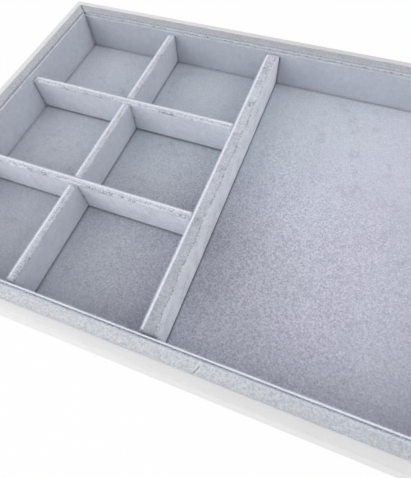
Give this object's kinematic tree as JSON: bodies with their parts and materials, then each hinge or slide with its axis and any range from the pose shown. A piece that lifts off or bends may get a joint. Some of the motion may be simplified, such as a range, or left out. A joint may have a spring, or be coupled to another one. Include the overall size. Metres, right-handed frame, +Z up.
{
  "type": "organizer tray",
  "caption": "Shallow rectangular tray in white leatherette with a grey velvet lining, small square compartments beside one large one, and thin dividers that lift out.",
  "frame": {"origin": "centre of the underside, on the surface that the tray stands on", "axes": "+X to the right along the long side, +Y to the back, +Z up"},
  "size_m": [0.25, 0.18, 0.0254],
  "materials": {
    "leatherette": "fine-grained white leatherette",
    "velvet": "short-pile pale grey velvet",
    "fibreboard": "raw fibreboard",
    "card": "grey board",
    "felt": "thin grey felt"
  },
  "bodies": {
    "tray": {"outer_wrap": "leatherette", "front_rim_velvet": "velvet", "back_rim_velvet": "velvet", "left_rim_velvet": "velvet", "right_rim_velvet": "velvet", "front_liner": "velvet", "back_liner": "velvet", "left_liner": "velvet", "right_liner": "velvet", "floor_velvet": "velvet", "main_divider_velvet": "velvet", "base_board": "fibreboard", "front_wall_core": "fibreboard", "back_wall_core": "fibreboard", "left_wall_core": "fibreboard", "right_wall_core": "fibreboard", "floor_card": "card", "main_divider_core": "card", "bottom_sheet": "felt"},
    "divider_grid": {"long_divider_velvet": "velvet", "front_cross_divider_velvet": "velvet", "back_cross_divider_velvet": "velvet", "long_divider_core": "card", "front_cross_divider_core": "card", "back_cross_divider_core": "card"}
  },
  "joints": [
    {"name": "divider_grid_lift", "type": "slide", "parent": "tray", "child": "divider_grid", "axis": [0, 0, 1], "range_m": [0, 0.02]}
  ]
}
